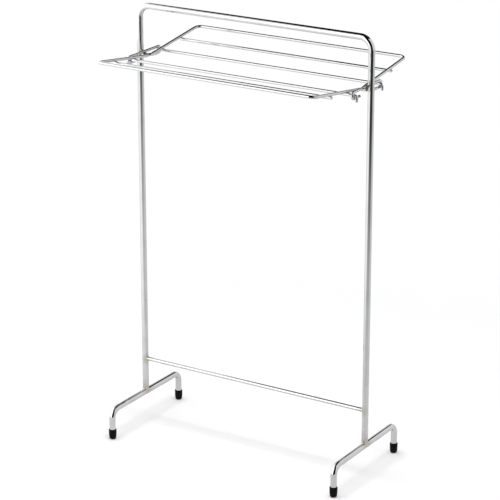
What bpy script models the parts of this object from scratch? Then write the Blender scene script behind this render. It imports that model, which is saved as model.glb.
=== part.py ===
"""Chromed valet stand: a bent-tube frame on two feet, with two folding wire racks.

Units are metres, +Z is up, X runs along the width and the rear rack points to +Y.
The origin is on the floor, under the middle of the frame.
"""
import math

import bmesh
import bpy
from mathutils import Matrix, Vector

OBJECT_NAME = "valet_stand"

# The gap left between pieces that are welded or pushed together.
WELD_GAP = 0.0003

# Frame: one hoop of tube, a cross rod and two feet.
FRAME_WIDTH = 0.650
FRAME_HEIGHT = 1.1104
FRAME_TUBE_D = 0.016
FRAME_BEND_R = 0.030
FOOT_TUBE_D = 0.016
FOOT_BAR_HEIGHT = 0.077
FOOT_DEPTH = 0.304
FOOT_BEND_R = 0.023
TUBE_WALL = 0.0012
CROSS_ROD_D = 0.010
CROSS_ROD_HEIGHT = 0.1697

# Rubber ferrules on the legs.
FERRULE_HEIGHT = 0.026
FERRULE_WALL = 0.0016
FERRULE_FLOOR = 0.004
FERRULE_TAPER = 0.0006
FERRULE_EDGE_R = 0.0022

# Hinge brackets: one wire per upright, with a hairpin at each end.
BRACKET_WIRE_D = 0.007
HINGE_DROP = 0.1244
HINGE_SPACING = 0.122
HINGE_PLAY = 0.0007
HAIRPIN_LEG = 0.027

# Racks: a bent border wire with cross rods welded under it.
RACK_WIRE_D = 0.0078
RACK_ROD_D = 0.0072
RACK_SIDE_CLEARANCE = 0.0073
RACK_REACH = 0.1603
RACK_CORNER_R = 0.016
MIDDLE_ROD_REACH = 0.083
TAIL_CLEARANCE = 0.0012
TAIL_BEND_R = 0.006
TAIL_OVERLAP = 0.0028
ROD_END_DROP = 0.015
ROD_END_BEND_R = 0.0055
ROD_END_CLEARANCE = 0.0004

# Facet counts of the round shapes.
TUBE_SIDES = 16
WIRE_SIDES = 12
ARC_STEPS_PER_QUARTER = 6
TURNED_STEPS = 20

# Points closer than this are one point.
SAME_POINT = 0.00001

# Fits worked out from the sizes above.
FRAME_TUBE_R = FRAME_TUBE_D / 2
FOOT_TUBE_R = FOOT_TUBE_D / 2
BRACKET_WIRE_R = BRACKET_WIRE_D / 2
RACK_WIRE_R = RACK_WIRE_D / 2
RACK_ROD_R = RACK_ROD_D / 2
UPRIGHT_X = FRAME_WIDTH / 2
TOP_BAR_Z = FRAME_HEIGHT - FRAME_TUBE_R
HINGE_HEIGHT = TOP_BAR_Z - HINGE_DROP
HINGE_Y = HINGE_SPACING / 2
HAIRPIN_R = RACK_ROD_R + HINGE_PLAY + BRACKET_WIRE_R
ARM_Z = HINGE_HEIGHT + HAIRPIN_R
BRACKET_X = UPRIGHT_X - FRAME_TUBE_R - WELD_GAP - BRACKET_WIRE_R
RACK_SIDE_X = BRACKET_X - BRACKET_WIRE_R - RACK_SIDE_CLEARANCE - RACK_WIRE_R
BORDER_LIFT = RACK_WIRE_R + RACK_ROD_R + WELD_GAP
ROD_END_X = BRACKET_X + BRACKET_WIRE_R + ROD_END_CLEARANCE + RACK_ROD_R
TAIL_TIP_X = BRACKET_X + TAIL_OVERLAP
TAIL_Y = RACK_WIRE_R + TAIL_CLEARANCE / 2

FRONT = -1
REAR = 1
LEFT = -1
RIGHT = 1


def clear_scene():
    """Remove every object, so that only the part is in the file."""
    for item in list(bpy.data.objects):
        bpy.data.objects.remove(item, do_unlink=True)


def new_collection(name):
    """Make a collection linked to the scene."""
    collection = bpy.data.collections.new(name)
    bpy.context.scene.collection.children.link(collection)
    return collection


def new_material(name, colour, metallic, roughness):
    """Make a Principled material with a plain colour."""
    material = bpy.data.materials.new(name)
    material.use_nodes = True
    shader = material.node_tree.nodes["Principled BSDF"]
    shader.inputs["Base Color"].default_value = (*colour, 1.0)
    shader.inputs["Metallic"].default_value = metallic
    shader.inputs["Roughness"].default_value = roughness
    return material


def arc_corner(before, corner, after, radius):
    """Points of the arc that rounds one corner of a path."""
    incoming = (before - corner).normalized()
    outgoing = (after - corner).normalized()
    opening = incoming.angle(outgoing)
    bisector = (incoming + outgoing).normalized()
    centre = corner + bisector * (radius / math.sin(opening / 2))
    start = corner + incoming * (radius / math.tan(opening / 2))
    spoke = start - centre
    turn = math.pi - opening
    axis = (-incoming).cross(outgoing).normalized()
    steps = max(2, math.ceil(ARC_STEPS_PER_QUARTER * turn / (math.pi / 2)))
    return [centre + Matrix.Rotation(turn * i / steps, 3, axis) @ spoke for i in range(steps + 1)]


def rounded_path(corners, radii):
    """A path through the corners, with each inner corner rounded to its radius."""
    vectors = [Vector(corner) for corner in corners]
    points = [vectors[0]]
    for index, radius in enumerate(radii, start=1):
        arc = arc_corner(vectors[index - 1], vectors[index], vectors[index + 1], radius)
        arcs_meet = (arc[0] - points[-1]).length < SAME_POINT
        points += arc[1:] if arcs_meet else arc
    points.append(vectors[-1])
    return points


def wire_curve(name, points, radius, sides, capped=True):
    """A round wire along a path, as a poly curve with a bevel."""
    curve = bpy.data.curves.new(name, "CURVE")
    curve.dimensions = "3D"
    curve.bevel_depth = radius
    curve.bevel_resolution = sides // 2 - 2
    curve.use_fill_caps = capped
    spline = curve.splines.new("POLY")
    spline.points.add(len(points) - 1)
    for target, point in zip(spline.points, points):
        target.co = (*point, 1.0)
    return bpy.data.objects.new(name, curve)


def curve_to_mesh(item, collection):
    """Replace a curve object with a mesh object of the same name and place."""
    bpy.context.scene.collection.objects.link(item)
    graph = bpy.context.evaluated_depsgraph_get()
    mesh = bpy.data.meshes.new_from_object(item.evaluated_get(graph))
    shape = bmesh.new()
    shape.from_mesh(mesh)
    bmesh.ops.remove_doubles(shape, verts=shape.verts, dist=SAME_POINT)
    bmesh.ops.recalc_face_normals(shape, faces=shape.faces)
    shape.to_mesh(mesh)
    shape.free()
    name = item.name
    place = item.matrix_world.copy()
    bpy.data.objects.remove(item, do_unlink=True)
    solid = bpy.data.objects.new(name, mesh)
    solid.matrix_world = place
    collection.objects.link(solid)
    return solid


def smooth(item):
    """Shade a round mesh smooth, with its ends left sharp."""
    item.data.shade_smooth()
    item.data.set_sharp_from_angle(angle=math.radians(35))


def finish(item, material):
    """Give a piece its material."""
    item.data.materials.clear()
    item.data.materials.append(material)
    return item


def hollow_tube(name, points, radius, collection):
    """A bent tube with open ends and an even wall."""
    tube = curve_to_mesh(wire_curve(name, points, radius, TUBE_SIDES, capped=False), collection)
    wall = tube.modifiers.new("wall", "SOLIDIFY")
    wall.thickness = TUBE_WALL
    wall.offset = -1
    wall.use_even_offset = True
    smooth(tube)
    return tube


def cylinder_cutter(name, radius, length, centre, axis, cutters):
    """A hidden cylinder that copes the end of a tube or rod."""
    mesh = bpy.data.meshes.new(name)
    shape = bmesh.new()
    turn = Vector((0, 0, 1)).rotation_difference(Vector(axis)).to_matrix().to_4x4()
    bmesh.ops.create_cone(
        shape,
        cap_ends=True,
        segments=2 * TUBE_SIDES,
        radius1=radius,
        radius2=radius,
        depth=length,
        matrix=Matrix.Translation(centre) @ turn,
    )
    shape.to_mesh(mesh)
    shape.free()
    cutter = bpy.data.objects.new(name, mesh)
    cutter.hide_render = True
    cutter.display_type = "WIRE"
    cutters.objects.link(cutter)
    return cutter


def cut(item, cutter):
    """Subtract a cutter from a piece."""
    boolean = item.modifiers.new(cutter.name, "BOOLEAN")
    boolean.operation = "DIFFERENCE"
    boolean.object = cutter


def make_hoop(collection, cutters, material):
    """The uprights and top bar: one bent tube, coped to sit on the feet."""
    corners = [
        (-UPRIGHT_X, 0, FOOT_BAR_HEIGHT),
        (-UPRIGHT_X, 0, TOP_BAR_Z),
        (UPRIGHT_X, 0, TOP_BAR_Z),
        (UPRIGHT_X, 0, FOOT_BAR_HEIGHT),
    ]
    path = rounded_path(corners, [FRAME_BEND_R, FRAME_BEND_R])
    hoop = hollow_tube("frame_hoop", path, FRAME_TUBE_R, collection)
    cope_radius = FOOT_TUBE_R / math.cos(math.pi / (2 * TUBE_SIDES)) + WELD_GAP
    for name, side in (("left_foot_cope", LEFT), ("right_foot_cope", RIGHT)):
        centre = (side * UPRIGHT_X, 0, FOOT_BAR_HEIGHT)
        cut(hoop, cylinder_cutter(name, cope_radius, 4 * FRAME_TUBE_D, centre, (0, 1, 0), cutters))
    return finish(hoop, material)


def make_cross_rod(collection, cutters, material):
    """The low rod between the uprights, with its ends coped to them."""
    ends = [(-UPRIGHT_X, 0, CROSS_ROD_HEIGHT), (UPRIGHT_X, 0, CROSS_ROD_HEIGHT)]
    curve = wire_curve("cross_rod", [Vector(end) for end in ends], CROSS_ROD_D / 2, TUBE_SIDES)
    rod = curve_to_mesh(curve, collection)
    smooth(rod)
    cope_radius = FRAME_TUBE_R / math.cos(math.pi / (2 * TUBE_SIDES)) + WELD_GAP
    for name, side in (("left_rod_cope", LEFT), ("right_rod_cope", RIGHT)):
        centre = (side * UPRIGHT_X, 0, CROSS_ROD_HEIGHT)
        cut(rod, cylinder_cutter(name, cope_radius, 4 * CROSS_ROD_D, centre, (0, 0, 1), cutters))
    return finish(rod, material)


def make_foot(name, side, collection, material):
    """One foot: a tube bent down at both ends, into the ferrules."""
    leg_y = FOOT_DEPTH / 2
    leg_end = FERRULE_FLOOR + WELD_GAP
    corners = [
        (side * UPRIGHT_X, -leg_y, leg_end),
        (side * UPRIGHT_X, -leg_y, FOOT_BAR_HEIGHT),
        (side * UPRIGHT_X, leg_y, FOOT_BAR_HEIGHT),
        (side * UPRIGHT_X, leg_y, leg_end),
    ]
    path = rounded_path(corners, [FOOT_BEND_R, FOOT_BEND_R])
    return finish(hollow_tube(name, path, FOOT_TUBE_R, collection), material)


def ferrule_profile():
    """Outline of the ferrule: inner floor, bore, rim, tapered side, rounded foot."""
    bore = FOOT_TUBE_R + WELD_GAP
    rim = bore + FERRULE_WALL
    base = rim - FERRULE_TAPER
    centre = base - FERRULE_EDGE_R
    points = [(0, FERRULE_FLOOR), (bore, FERRULE_FLOOR), (bore, FERRULE_HEIGHT), (rim, FERRULE_HEIGHT)]
    for step in range(4):
        angle = math.radians(30 * step)
        reach = FERRULE_EDGE_R * math.cos(angle)
        points.append((centre + reach, FERRULE_EDGE_R * (1 - math.sin(angle))))
    points.append((0, 0))
    return points


def make_ferrule(name, side, end, collection, material):
    """One rubber ferrule: a turned cup pushed over the end of a leg."""
    mesh = bpy.data.meshes.new(name)
    outline = ferrule_profile()
    edges = [(i, i + 1) for i in range(len(outline) - 1)]
    mesh.from_pydata([(x, 0, z) for x, z in outline], edges, [])
    ferrule = bpy.data.objects.new(name, mesh)
    ferrule.location = (side * UPRIGHT_X, end * FOOT_DEPTH / 2, 0)
    collection.objects.link(ferrule)
    turning = ferrule.modifiers.new("turning", "SCREW")
    turning.steps = TURNED_STEPS
    turning.render_steps = TURNED_STEPS
    turning.use_merge_vertices = True
    turning.merge_threshold = SAME_POINT
    turning.use_smooth_shade = True
    return finish(ferrule, material)


def make_bracket(name, side, collection, material):
    """One hinge bracket: a wire along the upright's inner side, hairpinned at both ends."""
    x = side * BRACKET_X
    nose_y = HINGE_Y + HAIRPIN_R
    leg_y = HINGE_Y - HAIRPIN_LEG
    leg_z = HINGE_HEIGHT - HAIRPIN_R
    corners = [
        (x, -leg_y, leg_z),
        (x, -nose_y, leg_z),
        (x, -nose_y, ARM_Z),
        (x, nose_y, ARM_Z),
        (x, nose_y, leg_z),
        (x, leg_y, leg_z),
    ]
    path = rounded_path(corners, [HAIRPIN_R] * 4)
    bracket = wire_curve(name, path, BRACKET_WIRE_R, WIRE_SIDES)
    collection.objects.link(bracket)
    return finish(bracket, material)


def rest_tilt(tail_reach):
    """Angle above level at which the tails rest under the bracket arms."""
    drop = HAIRPIN_R - BRACKET_WIRE_R - RACK_WIRE_R - WELD_GAP
    lever = math.hypot(BORDER_LIFT, tail_reach)
    return math.acos(drop / lever) - math.atan2(tail_reach, BORDER_LIFT)


def rack_point(end, x, reach, lift):
    """A point given in the plane of a rack, placed in the stand."""
    tail_reach = HINGE_Y - TAIL_Y
    tilt = rest_tilt(tail_reach)
    out = reach * math.cos(tilt) - lift * math.sin(tilt)
    up = reach * math.sin(tilt) + lift * math.cos(tilt)
    return Vector((x, end * out, up))


def hinge_empty(name, end, collection):
    """The empty on a rack's hinge line, which its pieces are parented to."""
    empty = bpy.data.objects.new(name, None)
    empty.location = (0, end * HINGE_Y, HINGE_HEIGHT)
    collection.objects.link(empty)
    return empty


def hang(item, empty, material, collection):
    """Parent a rack piece to its hinge and give it its material."""
    item.parent = empty
    collection.objects.link(item)
    return finish(item, material)


def make_border(name, end, empty, collection, material):
    """The border wire of a rack, whose tails bend out under the bracket arms."""
    tail_reach = -(HINGE_Y - TAIL_Y)
    outline = [
        (-TAIL_TIP_X, tail_reach),
        (-RACK_SIDE_X, tail_reach),
        (-RACK_SIDE_X, RACK_REACH),
        (RACK_SIDE_X, RACK_REACH),
        (RACK_SIDE_X, tail_reach),
        (TAIL_TIP_X, tail_reach),
    ]
    corners = [rack_point(end, x, reach, BORDER_LIFT) for x, reach in outline]
    path = rounded_path(corners, [TAIL_BEND_R, RACK_CORNER_R, RACK_CORNER_R, TAIL_BEND_R])
    return hang(wire_curve(name, path, RACK_WIRE_R, WIRE_SIDES), empty, material, collection)


def make_middle_rod(name, end, empty, collection, material):
    """The straight rod under the middle of a rack, flush with the border's outer sides."""
    tip_x = RACK_SIDE_X + RACK_WIRE_R
    ends = [rack_point(end, x, MIDDLE_ROD_REACH, 0) for x in (-tip_x, tip_x)]
    return hang(wire_curve(name, ends, RACK_ROD_R, WIRE_SIDES), empty, material, collection)


def make_hinge_rod(name, empty, collection, material):
    """The rod that turns in the hairpins, with its ends bent down to hold it there."""
    corners = [
        (-ROD_END_X, 0, -ROD_END_DROP),
        (-ROD_END_X, 0, 0),
        (ROD_END_X, 0, 0),
        (ROD_END_X, 0, -ROD_END_DROP),
    ]
    path = rounded_path(corners, [ROD_END_BEND_R, ROD_END_BEND_R])
    return hang(wire_curve(name, path, RACK_ROD_R, WIRE_SIDES), empty, material, collection)


def make_rack(label, end, collection, material):
    """One folding rack on its hinge line."""
    empty = hinge_empty(label + "_hinge_line", end, collection)
    make_border(label + "_border", end, empty, collection, material)
    make_middle_rod(label + "_middle_rod", end, empty, collection, material)
    make_hinge_rod(label + "_hinge_rod", empty, collection, material)


def main():
    """Build the whole stand."""
    clear_scene()
    parts = new_collection(OBJECT_NAME)
    cutters = new_collection("cutters")
    chrome = new_material("chrome", (0.86, 0.87, 0.88), 1.0, 0.08)
    bright_wire = new_material("bright_wire", (0.84, 0.85, 0.86), 1.0, 0.10)
    rubber = new_material("black_rubber", (0.012, 0.012, 0.013), 0.0, 0.55)
    make_hoop(parts, cutters, chrome)
    make_cross_rod(parts, cutters, chrome)
    for label, side in (("left", LEFT), ("right", RIGHT)):
        make_foot(label + "_foot", side, parts, chrome)
        make_bracket(label + "_hinge_bracket", side, parts, bright_wire)
        for place, end in (("front", FRONT), ("rear", REAR)):
            make_ferrule(label + "_" + place + "_ferrule", side, end, parts, rubber)
    make_rack("front_rack", FRONT, parts, bright_wire)
    make_rack("rear_rack", REAR, parts, bright_wire)


main()
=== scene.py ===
"""Valet stand: the detailed model and its finishes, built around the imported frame.

Every piece of the stand is formed again at full quality from its own stock: tube, rod,
wire or rubber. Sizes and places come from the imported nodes, in metres, +Z up.
"""
from __future__ import annotations

import logging
import math
from dataclasses import dataclass, field
from enum import Enum

import bpy
from mathutils import Matrix, Vector


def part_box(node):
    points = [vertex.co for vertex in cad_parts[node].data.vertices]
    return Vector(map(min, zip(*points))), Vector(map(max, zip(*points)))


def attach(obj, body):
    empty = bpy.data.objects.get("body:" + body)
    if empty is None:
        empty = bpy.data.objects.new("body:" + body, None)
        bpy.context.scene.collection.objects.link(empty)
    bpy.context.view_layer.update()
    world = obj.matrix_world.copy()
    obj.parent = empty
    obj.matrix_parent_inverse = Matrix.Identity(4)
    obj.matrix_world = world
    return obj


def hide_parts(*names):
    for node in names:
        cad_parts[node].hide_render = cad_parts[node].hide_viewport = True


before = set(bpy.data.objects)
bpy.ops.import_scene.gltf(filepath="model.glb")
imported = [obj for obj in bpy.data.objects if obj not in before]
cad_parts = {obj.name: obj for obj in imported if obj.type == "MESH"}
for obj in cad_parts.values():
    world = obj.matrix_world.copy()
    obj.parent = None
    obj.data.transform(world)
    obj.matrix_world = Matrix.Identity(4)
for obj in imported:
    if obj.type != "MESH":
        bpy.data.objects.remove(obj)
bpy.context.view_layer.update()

log = logging.getLogger("valet_stand")

WELD_GAP = 0.0003

# Modelling: the first face that is drawn from, points that are one, and the round cutter.
SEED_SIZE = 0.001
SAME_POINT = 0.000005
CUTTER_SIDES = 96
CUTTER_RADII_LONG = 8


class Slot(Enum):
    """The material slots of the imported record."""

    CHROME_TUBE = "chrome_tube"
    CHROME_WIRE = "chrome_wire"
    BLACK_RUBBER = "black_rubber"


class Side(Enum):
    """The left or right half of the stand, as a sign along X."""

    LEFT = -1
    RIGHT = 1


class End(Enum):
    """The front or rear half of the stand, as a sign along Y."""

    FRONT = -1
    REAR = 1


# ---------------------------------------------------------------- modelling helpers


def select_none() -> None:
    """Leave edit mode and deselect every object."""
    if bpy.context.object and bpy.context.object.mode != "OBJECT":
        bpy.ops.object.mode_set(mode="OBJECT")
    bpy.ops.object.select_all(action="DESELECT")


def select_only(piece: bpy.types.Object) -> None:
    """Make one object the selected and active one.

    Args:
        piece: The object to select.
    """
    select_none()
    piece.select_set(True)
    bpy.context.view_layer.objects.active = piece


def settle(piece: bpy.types.Object) -> None:
    """Put an object's place into its mesh, so that the object sits at the origin.

    Args:
        piece: The object to settle.
    """
    select_only(piece)
    bpy.ops.object.transform_apply(location=True, rotation=True, scale=True)


def trace(name: str, points: list[Vector]) -> bpy.types.Object:
    """Draw a line from point to point by extruding one vertex.

    Args:
        name: The name of the piece.
        points: The points to run through.

    Returns:
        The piece, left in edit mode with the whole line selected.
    """
    select_none()
    bpy.ops.mesh.primitive_plane_add(size=SEED_SIZE, location=(0, 0, 0))
    piece = bpy.context.object
    piece.name = name
    bpy.ops.object.mode_set(mode="EDIT")
    bpy.ops.mesh.select_mode(type="VERT")
    bpy.ops.mesh.merge(type="CENTER")
    bpy.ops.transform.translate(value=points[0])
    for here, onward in zip(points, points[1:]):
        bpy.ops.mesh.extrude_region_move(TRANSFORM_OT_translate={"value": onward - here})
    bpy.ops.mesh.select_all(action="SELECT")
    return piece


def close_and_orient(piece: bpy.types.Object) -> None:
    """Merge doubles, fill open rings and turn every face outwards.

    Args:
        piece: The mesh object to clean.
    """
    select_only(piece)
    bpy.ops.object.mode_set(mode="EDIT")
    bpy.ops.mesh.select_all(action="SELECT")
    bpy.ops.mesh.remove_doubles(threshold=SAME_POINT)
    bpy.ops.mesh.fill_holes(sides=0)
    bpy.ops.mesh.select_all(action="SELECT")
    bpy.ops.mesh.normals_make_consistent(inside=False)
    bpy.ops.object.mode_set(mode="OBJECT")


def smooth_by_angle(piece: bpy.types.Object, degrees: float = 40.0) -> None:
    """Shade a piece smooth, with edges past an angle left sharp.

    Args:
        piece: The mesh object.
        degrees: The largest angle that is shaded smooth.
    """
    select_only(piece)
    bpy.ops.object.shade_smooth_by_angle(angle=math.radians(degrees))


def show_as(
    piece: bpy.types.Object,
    body: str,
    slot: Slot,
    material: bpy.types.Material,
    *nodes: str,
) -> bpy.types.Object:
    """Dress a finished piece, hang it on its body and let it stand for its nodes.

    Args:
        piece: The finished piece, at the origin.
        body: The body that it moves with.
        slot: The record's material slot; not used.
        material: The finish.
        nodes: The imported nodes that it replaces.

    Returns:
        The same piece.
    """
    piece.data.materials.clear()
    piece.data.materials.append(material)
    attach(piece, body)
    if nodes:
        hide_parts(*nodes)
    log.info("%s on %s, %d faces", piece.name, body, len(piece.data.polygons))
    return piece


@dataclass
class BentStock:
    """Round stock that is run out straight and bent, as on a tube bender."""

    radius: float
    sides: int = 40
    steps_per_quarter: int = 16
    end_edge: float = 0.0007

    def form(self, name: str, corners: list[Vector], bends: list[float]) -> bpy.types.Object:
        """Form one piece along its corners.

        Args:
            name: The name of the piece.
            corners: The corners of its centre line, ends included.
            bends: The centre-line radius of the bend at each inner corner.

        Returns:
            The formed piece, closed at both ends.
        """
        place = corners[0].copy()
        heading = (corners[1] - corners[0]).normalized()
        select_none()
        turn = heading.to_track_quat("Z", "Y").to_euler()
        bpy.ops.mesh.primitive_circle_add(
            vertices=self.sides, radius=self.radius, fill_type="NOTHING", location=place, rotation=turn
        )
        piece = bpy.context.object
        piece.name = name
        settle(piece)
        bpy.ops.object.mode_set(mode="EDIT")
        bpy.ops.mesh.select_all(action="SELECT")
        for index, bend in enumerate(bends, start=1):
            onward = (corners[index + 1] - corners[index]).normalized()
            angle = heading.angle(onward)
            setback = bend * math.tan(angle / 2)
            place = self.run(place, heading, (corners[index] - place).length - setback)
            place = self.bend(place, heading, onward, bend)
            heading = onward
        self.run(place, heading, (corners[-1] - place).length)
        bpy.ops.object.mode_set(mode="OBJECT")
        close_and_orient(piece)
        self.break_ends(piece)
        smooth_by_angle(piece)
        return piece

    def run(self, place: Vector, heading: Vector, length: float) -> Vector:
        """Extrude the open ring straight on.

        Args:
            place: Where the ring is.
            heading: The way it points.
            length: How far it goes.

        Returns:
            Where the ring is afterwards.
        """
        shortest = 0.00001
        if length < shortest:
            return place
        step = heading * length
        bpy.ops.mesh.extrude_region_move(TRANSFORM_OT_translate={"value": step})
        return place + step

    def bend(self, place: Vector, heading: Vector, onward: Vector, radius: float) -> Vector:
        """Spin the open ring round one bend.

        Args:
            place: Where the ring is.
            heading: The way it points before the bend.
            onward: The way it points after it.
            radius: The centre-line radius of the bend.

        Returns:
            Where the ring is afterwards.
        """
        angle = heading.angle(onward)
        axis = heading.cross(onward).normalized()
        centre = place + axis.cross(heading) * radius
        steps = max(4, round(self.steps_per_quarter * angle / (math.pi / 2)))
        bpy.ops.mesh.spin(steps=steps, angle=-angle, center=centre, axis=axis)
        return centre + Matrix.Rotation(angle, 3, axis) @ (place - centre)

    def break_ends(self, piece: bpy.types.Object) -> None:
        """Round off the sharp edges of the two flat ends.

        Args:
            piece: The formed piece.
        """
        if not self.end_edge:
            return
        select_only(piece)
        for polygon in piece.data.polygons:
            polygon.select = len(polygon.vertices) > 4
        for edge in piece.data.edges:
            edge.select = False
        for vertex in piece.data.vertices:
            vertex.select = False
        bpy.ops.object.mode_set(mode="EDIT")
        bpy.ops.mesh.select_mode(type="FACE")
        bpy.ops.mesh.bevel(offset=self.end_edge, segments=3, affect="EDGES")
        bpy.ops.mesh.select_mode(type="VERT")
        bpy.ops.object.mode_set(mode="OBJECT")


# ---------------------------------------------------------------- finishes


class Wiring:
    """A node tree with short ways to add nodes and join their sockets."""

    def __init__(self, tree: bpy.types.NodeTree) -> None:
        """Start wiring a tree.

        Args:
            tree: The node tree of a material or a group.
        """
        self.tree = tree

    def add(self, kind: str, **settings: object) -> bpy.types.Node:
        """Add a node.

        Args:
            kind: The node's type name.
            settings: Values for its properties.

        Returns:
            The new node.
        """
        node = self.tree.nodes.new(kind)
        for name, value in settings.items():
            setattr(node, name, value)
        return node

    def join(self, source: bpy.types.NodeSocket, target: bpy.types.NodeSocket) -> None:
        """Join an output socket to an input socket."""
        self.tree.links.new(source, target)

    def maths(self, operation: str, first: object, second: object = 0.0) -> bpy.types.NodeSocket:
        """Add a maths node.

        Args:
            operation: The operation's name.
            first: A socket or a number.
            second: A socket or a number.

        Returns:
            The result's socket.
        """
        node = self.add("ShaderNodeMath", operation=operation)
        for socket, value in zip(node.inputs, (first, second)):
            if isinstance(value, bpy.types.NodeSocket):
                self.join(value, socket)
            else:
                socket.default_value = value
        return node.outputs[0]

    def remap(
        self, value: bpy.types.NodeSocket, low: float, high: float, out_low: float, out_high: float
    ) -> bpy.types.NodeSocket:
        """Map a value smoothly from one range to another.

        Args:
            value: The value's socket.
            low: The start of its range.
            high: The end of its range.
            out_low: What the start becomes.
            out_high: What the end becomes.

        Returns:
            The result's socket.
        """
        node = self.add("ShaderNodeMapRange", interpolation_type="SMOOTHSTEP")
        self.join(value, node.inputs["Value"])
        ends = {"From Min": low, "From Max": high, "To Min": out_low, "To Max": out_high}
        for name, number in ends.items():
            node.inputs[name].default_value = number
        return node.outputs["Result"]

    def noise(self, vector: bpy.types.NodeSocket, scale: float, detail: float = 3.0) -> bpy.types.NodeSocket:
        """Add a noise texture.

        Args:
            vector: The coordinates' socket.
            scale: The pattern's scale, per metre.
            detail: How many finer layers it has.

        Returns:
            The socket of its grey value.
        """
        node = self.add("ShaderNodeTexNoise")
        node.inputs["Scale"].default_value = scale
        node.inputs["Detail"].default_value = detail
        self.join(vector, node.inputs["Vector"])
        return node.outputs["Fac"]

    def blend(self, mask: bpy.types.NodeSocket, first: object, second: object) -> bpy.types.NodeSocket:
        """Blend two colours by a mask.

        Args:
            mask: The mask's socket.
            first: The colour, or its socket, where the mask is 0.
            second: The colour, or its socket, where the mask is 1.

        Returns:
            The socket of the blended colour.
        """
        node = self.add("ShaderNodeMix", data_type="RGBA")
        self.join(mask, node.inputs[0])
        for socket, value in ((node.inputs[6], first), (node.inputs[7], second)):
            if isinstance(value, bpy.types.NodeSocket):
                self.join(value, socket)
            else:
                socket.default_value = (*value, 1.0)
        return node.outputs[2]


def new_group(
    name: str, inputs: dict[str, tuple[str, object]], outputs: dict[str, str]
) -> bpy.types.NodeTree:
    """Make an empty shader group with named sockets.

    Args:
        name: The group's name.
        inputs: Each input's kind and default value.
        outputs: Each output's kind.

    Returns:
        The group's tree.
    """
    tree = bpy.data.node_groups.new(name, "ShaderNodeTree")
    for label, (kind, value) in inputs.items():
        tree.interface.new_socket(label, in_out="INPUT", socket_type=kind).default_value = value
    for label, kind in outputs.items():
        tree.interface.new_socket(label, in_out="OUTPUT", socket_type=kind)
    return tree


def polish_marks_group() -> bpy.types.NodeTree:
    """Build the group for what handling and polishing leave on plated metal.

    It puts out a roughness that changes over the surface, a height for the orange peel of
    the plating with its fine scratches, and a mask of smudged places.

    Returns:
        The group's tree.
    """
    tree = new_group(
        "polish_marks",
        {
            "Roughness": ("NodeSocketFloat", 0.05),
            "Smudge": ("NodeSocketFloat", 0.04),
            "Scratch": ("NodeSocketFloat", 0.25),
        },
        {"Roughness": "NodeSocketFloat", "Height": "NodeSocketFloat", "Smudges": "NodeSocketFloat"},
    )
    wiring = Wiring(tree)
    given = wiring.add("NodeGroupInput")
    made = wiring.add("NodeGroupOutput")
    place = wiring.add("ShaderNodeTexCoord").outputs["Object"]
    cloud = wiring.remap(wiring.noise(place, 22.0, 5.0), 0.42, 0.72, 0.0, 1.0)
    peel = wiring.noise(place, 650.0, 2.0)
    scratches = []
    for turn in ((0.3, 1.1, 0.2), (1.2, 0.4, 2.0)):
        mapping = wiring.add("ShaderNodeMapping")
        mapping.inputs["Rotation"].default_value = turn
        mapping.inputs["Scale"].default_value = (40.0, 2400.0, 900.0)
        wiring.join(place, mapping.inputs["Vector"])
        fine = wiring.noise(mapping.outputs["Vector"], 1.0, 1.0)
        scratches.append(wiring.remap(fine, 0.66, 0.74, 0.0, 1.0))
    scratch = wiring.maths("MAXIMUM", scratches[0], scratches[1])
    scratch = wiring.maths("MULTIPLY", scratch, given.outputs["Scratch"])
    smudge = wiring.maths("MULTIPLY", cloud, given.outputs["Smudge"])
    rough = wiring.maths("ADD", given.outputs["Roughness"], smudge)
    wiring.join(wiring.maths("ADD", rough, wiring.maths("MULTIPLY", scratch, 0.12)), made.inputs["Roughness"])
    wiring.join(wiring.maths("SUBTRACT", wiring.maths("MULTIPLY", peel, 0.5), scratch), made.inputs["Height"])
    wiring.join(cloud, made.inputs["Smudges"])
    return tree


def heat_group() -> bpy.types.NodeTree:
    """Build the group for the haze that a weld leaves in the plating round it.

    The stand is the same left to right and front to rear, so the distance is measured in
    one quarter of it, to one joint.

    Returns:
        The group's tree, which puts out a mask.
    """
    tree = new_group(
        "weld_heat",
        {"Joint": ("NodeSocketVector", (0.0, 0.0, 0.0)), "Reach": ("NodeSocketFloat", 0.02)},
        {"Heat": "NodeSocketFloat"},
    )
    wiring = Wiring(tree)
    given = wiring.add("NodeGroupInput")
    made = wiring.add("NodeGroupOutput")
    place = wiring.add("ShaderNodeTexCoord").outputs["Object"]
    parts = wiring.add("ShaderNodeSeparateXYZ")
    wiring.join(place, parts.inputs[0])
    quarter = wiring.add("ShaderNodeCombineXYZ")
    wiring.join(wiring.maths("ABSOLUTE", parts.outputs["X"]), quarter.inputs["X"])
    wiring.join(wiring.maths("ABSOLUTE", parts.outputs["Y"]), quarter.inputs["Y"])
    wiring.join(parts.outputs["Z"], quarter.inputs["Z"])
    span = wiring.add("ShaderNodeVectorMath", operation="DISTANCE")
    wiring.join(quarter.outputs[0], span.inputs[0])
    wiring.join(given.outputs["Joint"], span.inputs[1])
    share = wiring.maths("DIVIDE", span.outputs["Value"], given.outputs["Reach"])
    wobble = wiring.maths("MULTIPLY", wiring.noise(place, 180.0, 3.0), 0.7)
    fade = wiring.remap(wiring.maths("ADD", share, wobble), 0.45, 1.45, 1.0, 0.0)
    wiring.join(fade, made.inputs["Heat"])
    return tree


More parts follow.
